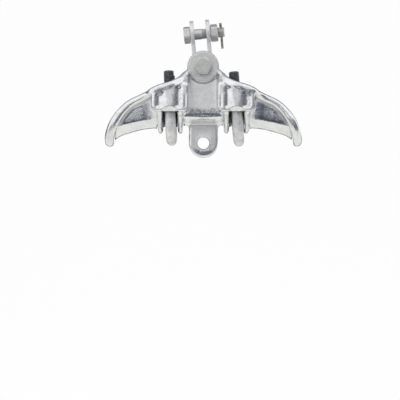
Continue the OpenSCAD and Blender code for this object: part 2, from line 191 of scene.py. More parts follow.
# Swells a shape and draws it in again, which leaves a fillet in every inner corner
def filletCorners(shape, voxel, radius):
    for swell in (0, radius, -radius):
        if swell:
            addModifier(shape, "DISPLACE", mid_level=0, strength=swell)
        addModifier(shape, "REMESH", mode="VOXEL", voxel_size=voxel)
    return applyModifiers(shape)


# Runs all that touches into one surface and softens its edges as a mould does
def castSkin(shape, voxel, rounds, faceLimit):
    addModifier(shape, "REMESH", mode="VOXEL", voxel_size=voxel)
    addModifier(shape, "SMOOTH", factor=0.5, iterations=rounds)
    applyModifiers(shape)
    triangles = sum(len(p.vertices) - 2 for p in shape.data.polygons)
    if triangles > faceLimit:
        addModifier(shape, "DECIMATE", ratio=faceLimit / triangles)
        applyModifiers(shape)
    return shape


def finishPiece(shape, name, body, nodes, material, sharpAngle=35):
    shape.name = name
    shape.data.name = name
    shape.data.transform(Matrix.Scale(mm, 4))
    shape.data.polygons.foreach_set("use_smooth", [True] * len(shape.data.polygons))
    shape.data.set_sharp_from_angle(angle=radians(sharpAngle))
    indices = [p.material_index for p in shape.data.polygons]
    shape.data.materials.clear()
    for finish in material if isinstance(material, list) else [material]:
        shape.data.materials.append(finish)
    shape.data.polygons.foreach_set("material_index", indices)
    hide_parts(*nodes)
    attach(shape, body)


# Shading tools

def feed(tree, socket, value):
    if isinstance(value, bpy.types.NodeSocket):
        tree.links.new(value, socket)
    else:
        socket.default_value = value


def addNode(tree, kind, inputs=None, **settings):
    made = tree.nodes.new("ShaderNode" + kind)
    for key, value in settings.items():
        setattr(made, key, value)
    for key, value in (inputs or {}).items():
        feed(tree, made.inputs[key], value)
    return made


def mathNode(tree, operation, a, b):
    return addNode(tree, "Math", {0: a, 1: b}, operation=operation).outputs[0]


def times(tree, a, b):
    return mathNode(tree, "MULTIPLY", a, b)


def plus(tree, a, b):
    return mathNode(tree, "ADD", a, b)


def ramp(tree, value, low, high, fromValue=0.0, toValue=1.0):
    return addNode(tree, "MapRange", {"Value": value, "From Min": low, "From Max": high,
                                                "To Min": fromValue, "To Max": toValue}).outputs[0]


def noise(tree, place, scale, detail, roughness=0.5, distortion=0.0):
    return addNode(tree, "TexNoise", {"Vector": place, "Scale": scale, "Detail": detail,
                                                "Roughness": roughness, "Distortion": distortion}).outputs[0]


def mixColour(tree, factor, a, b):
    a, b = ((*v, 1) if isinstance(v, tuple) else v for v in (a, b))
    return addNode(tree, "Mix", {0: factor, 6: a, 7: b}, data_type="RGBA").outputs[2]


def startGroup(name, inputs, outputs):
    group = bpy.data.node_groups.new(name, "ShaderNodeTree")
    for label, value in inputs.items():
        socket = group.interface.new_socket(label, in_out="INPUT", socket_type="NodeSocketFloat")
        socket.default_value = value
    for label in outputs:
        group.interface.new_socket(label, in_out="OUTPUT", socket_type="NodeSocketFloat")
    start = group.nodes.new("NodeGroupInput")
    end = group.nodes.new("NodeGroupOutput")
    place = addNode(group, "TexCoord").outputs["Object"]
    return group, place, start.outputs, end.inputs


def useGroup(tree, group, inputs=None):
    return addNode(tree, "Group", inputs, node_tree=group).outputs


def makeCastGrain():
    scales = {"Patch Scale": 60, "Ripple Scale": 200, "Grain Scale": 1500}
    group, place, given, result = startGroup("castGrain", scales, ("Patches", "Height", "Stain"))
    patches = noise(group, place, given["Patch Scale"], 4.0, 0.55, 0.8)
    ripple = noise(group, place, given["Ripple Scale"], 3.0, 0.5, 0.4)
    grain = noise(group, place, given["Grain Scale"], 2.0)
    relief = plus(group, times(group, ripple, 0.35), times(group, grain, 0.05))
    feed(group, result["Patches"], ramp(group, patches, 0.35, 0.65))
    feed(group, result["Height"], plus(group, patches, relief))
    feed(group, result["Stain"], noise(group, place, 330.0, 5.0, 0.65, 0.3))
    return group


def makeEdgeWear():
    scales = {"Edge Start": 0.52, "Edge Full": 0.6, "Break Up": 150}
    group, place, given, result = startGroup("edgeWear", scales, ("Edges", "Hollows"))
    point = addNode(group, "NewGeometry").outputs["Pointiness"]
    breaks = noise(group, place, given["Break Up"], 4.0)
    edges = ramp(group, point, given["Edge Start"], given["Edge Full"])
    hollows = ramp(group, point, 0.48, 0.42)
    feed(group, result["Edges"], times(group, edges, ramp(group, breaks, 0.35, 0.55)))
    feed(group, result["Hollows"], times(group, hollows, ramp(group, breaks, 0.3, 0.6, 0.5, 1.0)))
    return group


def makeZincBloom():
    scales = {"Spangle Scale": 260, "Cloud Scale": 70}
    group, place, given, result = startGroup("zincBloom", scales, ("Tone", "Height"))
    spangle = addNode(group, "TexVoronoi", {"Vector": place, "Scale": given["Spangle Scale"]})
    facet = addNode(group, "SeparateColor", {"Color": spangle.outputs["Color"]}).outputs[0]
    cloud = noise(group, place, given["Cloud Scale"], 5.0, 0.6)
    fine = noise(group, place, 1800.0, 2.0)
    tone = plus(group, times(group, facet, 0.3), times(group, ramp(group, cloud, 0.3, 0.7), 0.7))
    feed(group, result["Tone"], tone)
    feed(group, result["Height"], plus(group, cloud, times(group, fine, 0.25)))
    return group


castGrain, edgeWear, zincBloom = makeCastGrain(), makeEdgeWear(), makeZincBloom()


def startMaterial(name):
    material = bpy.data.materials.new(name)
    material.use_nodes = True
    tree = material.node_tree
    return material, tree, tree.nodes["Principled BSDF"]


def finishShader(tree, shader, look, colour, roughness, height):
    bump = addNode(tree, "Bump", {"Height": height, "Strength": look["bump"],
                                            "Distance": look["bumpDepth"]})
    for key, value in (("Base Color", colour), ("Roughness", roughness), ("Normal", bump.outputs[0])):
        tree.links.new(value, shader.inputs[key])
    shader.inputs["Metallic"].default_value = look["metallic"]


def castMaterial(name, look):
    material, tree, shader = startMaterial(name)
    grain = useGroup(tree, castGrain, {"Patch Scale": look["patchScale"],
                                       "Ripple Scale": look["rippleScale"]})
    wear = useGroup(tree, edgeWear)
    # matte marks the duller faces; the two other marks are painted shade and painted reflection
    matte, mottledShade, deep = (addNode(tree, "Attribute", attribute_name=mark).outputs["Fac"]
                         for mark in ("matte", "mottledShade", "deep"))
    bright = mixColour(tree, grain["Patches"], look["pale"], look["grey"])
    bright = mixColour(tree, times(tree, wear["Hollows"], look["hollowDark"]), bright, look["dark"])
    speckle = ramp(tree, grain["Stain"], 0.38, 0.62)
    mottle = plus(tree, times(tree, grain["Patches"], 0.4), times(tree, speckle, 0.6))
    dull = mixColour(tree, mottle, look["mattePale"], look["matteGrey"])
    colour = mixColour(tree, matte, bright, dull)
    # Painted shade, broken into spots by the Stain noise
    spottyShade = plus(tree, mottledShade, times(tree, grain["Stain"], 1.3))
    spottyShade = times(tree, ramp(tree, spottyShade, 1.05, 1.45), ramp(tree, mottledShade, 0.02, 0.15))
    colour = mixColour(tree, times(tree, spottyShade, look["mottledShadeShare"]), colour, look["mottledShade"])
    # Painted shade and painted reflection, and a darker tone on the ears and the tongue
    colour = mixColour(tree, deep, colour, look["deep"])
    colour = mixColour(tree, times(tree, wear["Edges"], look["wornShare"]), colour, look["worn"])
    roughness = ramp(tree, grain["Patches"], 0.0, 1.0, *look["roughness"])
    roughness = addNode(tree, "Mix", {0: matte, 2: roughness, 3: look["matteRoughness"]},
                        data_type="FLOAT").outputs[0]
    finishShader(tree, shader, look, colour, roughness, grain["Height"])
    return material


def zincMaterial(name, look):
    material, tree, shader = startMaterial(name)
    bloom = useGroup(tree, zincBloom, {"Spangle Scale": look["spangle"],
                                       "Cloud Scale": look["cloud"]})
    wear = useGroup(tree, edgeWear)
    colour = mixColour(tree, bloom["Tone"], look["pale"], look["grey"])
    colour = mixColour(tree, times(tree, wear["Hollows"], look["hollowDark"]), colour, look["dark"])
    colour = mixColour(tree, times(tree, wear["Edges"], look["wornShare"]), colour, look["worn"])
    roughness = ramp(tree, bloom["Tone"], 0.0, 1.0, *look["roughness"])
    finishShader(tree, shader, look, colour, roughness, bloom["Height"])
    return material


print("materials ready")

# Camera, floor, backdrop and lamps

camera = {"azimuth": 0.47, "elevation": -5.3, "distance": 2.11, "pixelsPerMetre": 655,
          "originPixel": (203.4, 108.3), "image": 400, "sensor": 36}


def placeCamera():
    c = camera
    a, e, scale = radians(c["azimuth"]), radians(c["elevation"]), c["pixelsPerMetre"]
    forward = Vector((-sin(a) * cos(e), cos(a) * cos(e), -sin(e)))
    right = Vector((cos(a), sin(a), 0))
    up = right.cross(forward)
    data = bpy.data.cameras.new("photoCamera")
    data.sensor_width = c["sensor"]
    data.lens = c["sensor"] * scale * c["distance"] / c["image"]
    eye = addObject("photoCamera", data)
    eye.location = -forward * c["distance"]
    half, (u, v) = c["image"] / 2, c["originPixel"]
    aim = right * ((half - u) / scale) + up * ((v - half) / scale)
    eye.rotation_euler = (aim - eye.location).to_track_quat("-Z", "Y").to_euler()
    bpy.context.scene.camera = eye


studio = {"floorZ": -0.42, "halfWidth": 4.0, "front": -4.0, "back": 3.0, "curve": 1.2, "height": 4.0,
          "floorColour": (0.93, 0.925, 0.91), "whiteShare": 0.97, "world": (0.3, 0.305, 0.32)}


def seenRays(tree):  # 1 where the camera looks, straight or by way of metal or glass
    rays = addNode(tree, "LightPath").outputs
    bent = mathNode(tree, "MAXIMUM", rays["Is Glossy Ray"], rays["Is Transmission Ray"])
    return mathNode(tree, "MAXIMUM", rays["Is Camera Ray"], bent)


def buildStudio():
    s = studio
    profile = [(s["front"], s["floorZ"]), (s["back"] - s["curve"], s["floorZ"])]
    profile += arc(s["back"] - s["curve"], s["floorZ"] + s["curve"], s["curve"], -90, 0, 24)[1:]
    profile += [(s["back"], s["floorZ"] + s["height"])]
    n = len(profile)
    verts = [(x, y, z) for x in (-s["halfWidth"], s["halfWidth"]) for y, z in profile]
    floor = makeMesh(verts, [(i, i + 1, n + i + 1, n + i) for i in range(n - 1)], "floor")
    floor.data.polygons.foreach_set("use_smooth", [True] * (n - 1))
    material, tree, shader = startMaterial("paleFloor")
    shader.inputs["Base Color"].default_value = (*s["floorColour"], 1)
    shader.inputs["Roughness"].default_value = 0.8
    shader.inputs["Specular IOR Level"].default_value = 0.1
    white = addNode(tree, "Emission", {"Color": (1, 1, 1, 1), "Strength": 1.0}).outputs[0]
    share = times(tree, seenRays(tree), s["whiteShare"])
    blend = addNode(tree, "MixShader", {0: share, 1: shader.outputs[0], 2: white})
    tree.links.new(blend.outputs[0], tree.nodes["Material Output"].inputs["Surface"])
    floor.data.materials.append(material)
    world = bpy.data.worlds.new("studioLight")
    world.use_nodes = True
    bpy.context.scene.world = world
    tree = world.node_tree
    sky = mixColour(tree, seenRays(tree), s["world"], (1.0, 1.0, 1.0))
    tree.links.new(sky, tree.nodes["Background"].inputs["Color"])


# Cards stand around the part for the metal to mirror, out of the camera's sight.
# Each line gives a card's centre and size in metres, its turn in degrees and its shade.
cards = {
    "cardFrontLeft": ((-2.3, -2.9, 1.0), (3.8, 3.0), (90, 0, 0), (0.97, 0.97, 0.97)),
    "cardFront": ((-0.05, -2.9, 1.0), (0.7, 3.0), (90, 0, 0), (0.62, 0.63, 0.64)),
    "cardFrontRight": ((2.05, -2.9, 0.25), (3.5, 1.5), (90, 0, 0), (0.28, 0.29, 0.31)),
    "cardMat": ((0.0, -1.65, -0.4), (5.0, 1.5), (0, 0, 0), (0.07, 0.085, 0.12)),
    "cardNearLeft": ((-1.3, -0.65, -0.4), (2.42, 0.5), (0, 0, 0), (0.6, 0.61, 0.62)),
    "cardNearRight": ((1.3, -0.65, -0.4), (2.42, 0.5), (0, 0, 0), (0.25, 0.27, 0.31)),
    "cardUnder": ((0.0, -0.03, -0.405), (5.0, 1.76), (0, 0, 0), (0.83, 0.83, 0.79)),
    "cardRight": ((1.5, -0.9, 0.2), (1.5, 1.1), (90, 0, 60), (0.17, 0.18, 0.2)),
    "cardRear": ((0.0, 1.45, -0.4), (5.0, 1.2), (0, 0, 0), (0.06, 0.075, 0.11)),
    "cardRearLeft": ((-1.5, 0.9, 0.2), (1.5, 1.1), (90, 0, 60), (0.07, 0.08, 0.1)),
    "cardBack": ((0.0, 2.0, 2.3), (8.0, 2.7), (90, 0, 0), (0.12, 0.13, 0.15)),
    "cardAbove": ((0.0, 0.95, 3.4), (7.0, 1.5), (0, 0, 0), (0.42, 0.43, 0.45)),
    "cardCeiling": ((0.0, -0.9, 3.4), (7.0, 2.2), (0, 0, 0), (0.97, 0.97, 0.97)),
}


def placeCards():
    for name, (centre, size, turns, shade) in cards.items():
        w, h = size[0] / 2, size[1] / 2
        sheet = makeMesh([(-w, -h, 0), (w, -h, 0), (w, h, 0), (-w, h, 0)], [(0, 1, 2, 3)], name)
        spin = Euler([radians(v) for v in turns]).to_matrix().to_4x4()
        sheet.data.transform(Matrix.Translation(centre) @ spin)
        material, tree, _ = startMaterial(name)
        glow = addNode(tree, "Emission", {"Color": (*shade, 1), "Strength": 1.0})
        tree.links.new(glow.outputs[0], tree.nodes["Material Output"].inputs["Surface"])
        sheet.data.materials.append(material)
        sheet.visible_camera = False
        sheet.visible_diffuse = False
        sheet.visible_shadow = False


# Each line gives a lamp's place and size in metres, its power in watts and its colour
lamps = {
    "keyLeft": ((-1.7, -1.5, 1.3), 1.6, 22, (1.0, 0.99, 0.97)),
    "topBox": ((0.1, -0.1, 1.9), 1.8, 12, (1.0, 1.0, 1.0)),
    "fillRight": ((1.9, -1.2, 0.7), 1.0, 4, (0.97, 0.98, 1.0)),
    "backLift": ((0.4, 1.9, 1.2), 1.4, 10, (1.0, 1.0, 1.0)),
}


def placeLamps():
    for name, (place, size, power, colour) in lamps.items():
        data = bpy.data.lights.new(name, "AREA")
        data.shape = "SQUARE"
        data.size = size
        data.energy = power
        data.color = colour
        made = addObject(name, data)
        made.location = place
        made.visible_glossy = False
        made.rotation_euler = (-Vector(place)).to_track_quat("-Z", "Y").to_euler()


placeCamera()
buildStudio()
placeCards()
placeLamps()
bpy.context.scene.view_settings.view_transform = "Standard"
print("camera, floor and lamps placed")

# The casting: swept boat shell, rim beads, bosses, ribs, tongue and ears

casting = {
    "grooveRadius": 17, "mouthRadius": 22, "sagRadius": 400, "floorThickness": 8, "armThinning": 3,
    "wallHalf": 27, "rimRadius": 6, "mouthRimRadius": 7.5, "shoulder": 27,
    "mouthX": 142.5, "mouthLean": 10.5, "mouthCurve": 1.6, "mouthRun": 35,
    "mouthFlare": 6, "flareFrom": 122, "flareRun": 16, "creaseUp": 8.5, "creaseRise": 0.058,
    "pivotZ": 60, "earRadius": 24, "earIn": 17.7, "earOut": 32.5, "earEdge": 1.6,
    "boltX": 50, "legY": 30, "bossY": 54, "bossFloor": 8.5, "bossInner": 28, "bossOuter": 26.5,
    "panelDepth": 4.5, "frameWidth": 6.5, "frameInner": 11, "frameLow": 4.5, "brow": 0.5,
    "frameGroove": 26.3, "grooveHalf": 2.6, "grooveDepth": 2.2,
    "pocketRadius": 17, "fitGap": 0.3, "ribDrop": 39, "ribThick": 8, "ribRadius": 42,
    "channelWidth": 22.4, "tongueWidth": 44.4, "tieHole": 18, "tieDrop": 53.5, "tieSink": 2.4,
    "panelWall": 29.5, "boreRadius": 8.6, "legHoleRadius": 9.5, "bendZ": -19, "lift": 12, "boltR": 8,
    "voxel": 1.1, "fillet": 2.4, "rounds": 4, "faceLimit": 190000}


def ease(t):
    t = min(max(t, 0), 1)
    return t * t * (3 - 2 * t)


def floorZ(x):  # the groove's floor sags along its arc
    c = casting
    return -c["grooveRadius"] - (c["sagRadius"] - np.sqrt(c["sagRadius"] ** 2 - x * x))


def creaseZ(x):  # the lower crease of the sides
    return floorZ(x) - casting["floorThickness"] + casting["creaseUp"] + casting["creaseRise"] * abs(x)


def smoothPath(points, n):  # a curve through the points, in n steps between two of them
    path, last = [], len(points) - 1
    for i in range(last):
        a, b, c, d = (np.array(points[j], float) for j in (max(i - 1, 0), i, i + 1, min(i + 2, last)))
        for s in range(n):
            t = s / n
            curve = (2 * a - 5 * b + 4 * c - d) * t * t + (3 * b - a - 3 * c + d) * t ** 3
            path.append(0.5 * (2 * b + (c - a) * t + curve))
    return path + [np.array(points[last], float)]


def barAlong(path, sides):  # a round bar; each place on the path brings its radius
    lean, last, rings = np.array((0.55, 0, 0.83)), len(path) - 1, []
    for i, p in enumerate(path):
        along = path[min(i + 1, last)][:3] - path[max(i - 1, 0)][:3]
        along /= np.linalg.norm(along)
        u = lean - (lean @ along) * along
        u /= np.linalg.norm(u)
        w = np.cross(along, u)
        turns = [2 * pi * k / sides for k in range(sides)]
        rings.append([p[:3] + p[3] * (cos(a) * u + sin(a) * w) for a in turns])
    return skin(rings)


def buildCasting():
    c = casting
    spring = c["mouthX"] - c["mouthLean"]
    openFrom = c["boltX"] + c["mouthRun"]  # here the groove begins to open to its mouths
    opening = lambda x: ease((abs(x) - openFrom) / (c["mouthX"] - openFrom))
    grooveAt = lambda x: c["grooveRadius"] + (c["mouthRadius"] - c["grooveRadius"]) * opening(x)
    armThin = lambda x: c["armThinning"] * ease((abs(x) - c["boltX"] - 10) / c["mouthRun"])
    flare = lambda x: c["mouthFlare"] * min(1, max(0, (abs(x) - c["flareFrom"]) / c["flareRun"])) ** 2
    underZ = lambda x: floorZ(x) - c["floorThickness"] + armThin(x) - flare(x)
    mouthZ = floorZ(c["mouthX"]) + c["mouthRadius"]
    mouthR = c["mouthRadius"] + c["mouthRimRadius"] + 0.5
    r, bx, sh = c["rimRadius"], c["boltX"], c["shoulder"]
    bossRimY = c["bossY"] - (r + 0.5) - 0.2
    knots = [  # the bead from the ear, over the boss and down the arm: x, y, z and radius
        (c["earRadius"] - 9, c["earIn"] + r, c["pivotZ"] - 3, r),
        (bx - 23, c["legY"] + 1, sh + 18.5, r + 0.5),
        (bx - 13, bossRimY - 5, sh + 9.5, r + 0.3),
        (bx - 2, bossRimY, sh + 3.5, r + 0.5),
        (bx + 12, bossRimY, sh - 0.8, r + 0.5),
        (bx + 23, bossRimY - 0.5, sh - 5.2, r + 0.5),
        (bx + 32, mouthR + 8, sh - 9.8, r),
        (bx + 42, mouthR + 2, sh - 14.2, r),
        (spring - 23, mouthR + 0.5, mouthZ + 25.8, r + 0.3),
        (spring - 10, mouthR, mouthZ + 14, r + 0.9)]
    for a in (0, 22.5, 45, 67.5, 90):
        s, k = sin(radians(a)), cos(radians(a))
        mouthAt = c["mouthX"] - c["mouthLean"] * (1 - s) ** c["mouthCurve"]
        knots.append((mouthAt, mouthR * k, mouthZ - mouthR * s, c["mouthRimRadius"]))
    loop = knots + [(x, -y, z, q) for x, y, z, q in knots[-2::-1]]
    side = np.array(smoothPath(knots[:11], 8))
    rimY = lambda x: float(np.interp(abs(x), side[:, 0], side[:, 1]))
    rimZ = lambda x: float(np.interp(abs(x), side[:, 0], side[:, 2]))
    rimR = lambda x: float(np.interp(abs(x), side[:, 0], side[:, 3]))
    wallTop = lambda x: max(rimZ(x), creaseZ(x) + 4)
    sky = c["pivotZ"] + c["earRadius"] + 40

    def keelSection(x):
        rise = creaseZ(x) - underZ(x)
        keelR = (c["wallHalf"] ** 2 + rise ** 2) / (2 * rise)
        half = asin(c["wallHalf"] / keelR)
        ring = [(x, keelR * sin(a), underZ(x) + keelR - keelR * cos(a))
                for a in (half * (k / 10 - 1) for k in range(21))]
        return ring + [(x, rimY(x), wallTop(x)), (x, -rimY(x), wallTop(x))]

    def grooveSection(x):
        q = grooveAt(x)
        topY = max(q, rimY(x) - rimR(x))
        ring = [(x, y, floorZ(x) + q + z) for y, z in arc(0, 0, q, 180, 360, 30)]
        return ring + [(x, topY, wallTop(x)), (x, topY, sky), (x, -topY, sky), (x, -topY, wallTop(x))]

    body = skin([keelSection(x) for x in np.arange(-144, 145, 2.0)])
    lean = degrees(atan(c["mouthLean"] / mouthR))
    for s in (-1, 1):
        cutter = box((0, -100, -150), (100, 100, 150))
        if s < 0:
            placed(cutter, mirrorX)
        placed(cutter, shift(s * spring, 0, mouthZ) @ turn(-s * lean, "Y"))
        subtract(body, cutter)
    beadPath = smoothPath(loop, 10)
    bead = barAlong(beadPath, 24)
    union(body, twin(bead, mirrorX), bead)

    # boss: its front outline met by its side outline, with a sunk panel, a round column
    # and a shallow groove in the frame beside the middle
    bossIn, bossOut, bottom = bx - c["bossInner"], bx + c["bossOuter"], -c["fitGap"] - c["bossFloor"]

    def frontOutline(inner, outer, under, drop):
        left, right, low = bossIn + inner, bossOut - outer, bottom + under
        slope = lambda x: rimZ(x + 0.5) - rimZ(x - 0.5)
        return [(left, low), (right, low)] + [
            (x, rimZ(x) - drop - outer * hypot(1, slope(x))) for x in np.linspace(right, left, 11)]

    roof = [(rimY(x) + r * 0.85, rimZ(x)) for x in np.linspace(bx + 12, bx - 24, 19)]
    profile = [(0, bottom), (c["bossY"] - 2, bottom), (c["bossY"], bottom + 2)] + roof + [(0, rimZ(0))]
    panelY = c["bossY"] - c["panelDepth"]
    outline = roundOutline(frontOutline(0, 0, 0, 0), 4, {0: 7, 1: 9})
    sunk = roundOutline(frontOutline(c["frameInner"], c["frameWidth"], c["frameLow"], c["brow"]), 3)
    boss = prismY(outline, 0, panelY)
    ringPart = prismY(outline, panelY - 1, c["bossY"] - 0.6)
    subtract(ringPart, prismY(sunk, panelY - 2, c["bossY"] + 1))
    column = placed(rod(c["bossY"] - c["legY"], bottom, sky), shift(bx, c["legY"], 0))
    union(boss, ringPart, intersect(column, prismY(outline, 0, c["bossY"])))
    intersect(boss, prismX(profile, bossIn - 1, bossOut + 1))
    g, v, face = c["frameGroove"], c["grooveHalf"], c["bossY"]
    deep, out = face - c["grooveDepth"], face + 1
    groove = [(g, deep), (g + v, face), (g + v, out), (g - v, out), (g - v, face)]
    subtract(boss, prismZ(groove, bottom + 5, sky))
    union(body, *inFourPlaces(boss))

    # ribs, centre walls, tongue
    discR, t = c["ribRadius"], c["ribThick"]
    disc = turned([(-t / 2, discR - 3), (-t / 6, discR), (t / 6, discR), (t / 2, discR - 3)], 120)
    placed(disc, turn(90, "Y"))
    for s in (-1, 1):
        for e in (-1, 1):
            x = s * (bx + e * (c["channelWidth"] + t) / 2)
            rib = twin(disc, shift(x, 0, discR - c["ribDrop"]))
            space = box((x - t, -c["bossY"], -c["ribDrop"] - 5), (x + t, c["bossY"], bottom + 5))
            union(body, intersect(rib, space))
    bpy.data.objects.remove(disc)
    foot, toe, top = creaseZ(0) + 13.5, creaseZ(0) + 1.5, c["pivotZ"] - 12
    p, w = c["panelWall"], c["wallHalf"]
    wallOutline = [(1 - w, toe), (w - 1, toe), (p, foot), (p, top), (-p, top), (-p, foot)]
    union(body, prismX(wallOutline, -bossIn - 2, bossIn + 2))
    half = c["tongueWidth"] / 2
    rings = []
    for y, inset in ((-8, 3.4), (-7.4, 1.5), (-6.3, 0.4), (-5, 0), (5, 0), (6.3, 0.4), (7.4, 1.5), (8, 3.4)):
        q = half - inset
        rings.append([(x, y, z - c["tieDrop"]) for x, z in arc(0, 0, q, 180, 360, 60) + [(q, 33), (-q, 33)]])
    union(body, skin(rings))

    filletCorners(body, c["voxel"], c["fillet"])

    # the groove, the bolts' pockets, the ways of their bends and the lips under the columns
    subtract(body, skin([grooveSection(x) for x in np.arange(-160, 161, 2.0)]))
    stadium = arc(0, c["legY"], c["pocketRadius"], 0, 180, 36)
    stadium += arc(0, -c["legY"], c["pocketRadius"], 180, 360, 36)
    inside, low = c["legY"] - c["boltR"] - 0.5, c["bendZ"] + c["lift"]
    channel = [(-c["bossY"], -120), (c["bossY"], -120), (c["bossY"], bottom), (inside, bottom)]
    channel += arc(0, low, inside, 0, -180, 48) + [(-inside, bottom), (-c["bossY"], bottom)]
    arch = [pi * k / 24 for k in range(25)]
    arches = ((46.5, 10.4, 0.2), (49, 11.2, 2.4), (51.5, 12, 4.8), (54, 12.8, 7), (56, 13.2, 8))
    lip = skin([[(bx + w * cos(a), y, bottom + h * sin(a)) for a in arch] +
                [(bx - w, y, bottom - 2), (bx + w, y, bottom - 2)] for y, w, h in arches])
    subtract(body, *inFourPlaces(lip))
    for s in (-1, 1):
        cw = c["channelWidth"] / 2
        subtract(body, placed(prismZ(stadium, -c["fitGap"], sky), shift(s * bx, 0, 0)),
                 prismX(channel, s * bx - cw, s * bx + cw))
    e, er = c["earEdge"], c["earRadius"]
    ear = turned([(c["earIn"], er), (c["earOut"] - e, er), (c["earOut"] - e * 0.4, er - e * 0.25),
                  (c["earOut"], er - e)])
    placed(ear, shift(0, 0, c["pivotZ"]) @ turn(-90, "X"))
    union(body, twin(ear, mirrorY), ear)
    castSkin(body, c["voxel"], c["rounds"], c["faceLimit"])

    # drilled after casting
    q, tiePlace = c["tieHole"] / 2, shift(0, 0, -c["tieDrop"]) @ turn(90, "X")
    subtract(body, placed(rod(c["boreRadius"], -60, 60, 96), shift(0, 0, c["pivotZ"]) @ turn(90, "X")),
             placed(rod(q, -30, 30, 96), tiePlace))
    for x in (-bx, bx):
        for y in (-c["legY"], c["legY"]):
            subtract(body, placed(rod(c["legHoleRadius"], bottom - 4, 4), shift(x, y, 0)))
    sink = c["tieSink"]
    countersink = [(-9, q + sink), (sink - 9, q), (9 - sink, q), (9, q + sink)]
    subtract(body, placed(turned(countersink), tiePlace))
    return body, np.array(beadPath)


# The two darkest colours paint shade on the casting: one in mottled spots, the deep one at full strength
castLook = {"patchScale": 55, "rippleScale": 170, "pale": (0.93, 0.935, 0.94), "grey": (0.8, 0.81, 0.83),
            "dark": (0.3, 0.3, 0.31), "hollowDark": 0.5, "worn": (0.93, 0.93, 0.93), "wornShare": 0.6,
            "mottledShade": (0.2, 0.22, 0.27), "mottledShadeShare": 0.85, "deep": (0.05, 0.052, 0.06),
            "mattePale": (1.0, 1.0, 0.99), "matteGrey": (0.82, 0.825, 0.83), "matteRoughness": 0.55,
            "roughness": (0.14, 0.3), "bump": 0.35, "bumpDepth": 0.0012, "metallic": 1.0}

# How strong each mark on the casting is, of painted shade and reflection and of darker tone; a pair is for
# the left and the right
markShares = {"footShade": 0.66, "armShade": (0.26, 0.5), "creaseShade": 0.5, "columnShade": 0.45,
              "tongueLowDark": 0.85, "shadowUnderEar": 0.5, "arm": (0.04, 0.1), "flankReflection": (0.45, 0.5), "eaves": 0.5,
              "rootShade": 0.5, "ear": 0.16, "eye": 0.6, "earRimReflection": 0.4, "tongue": 0.18}


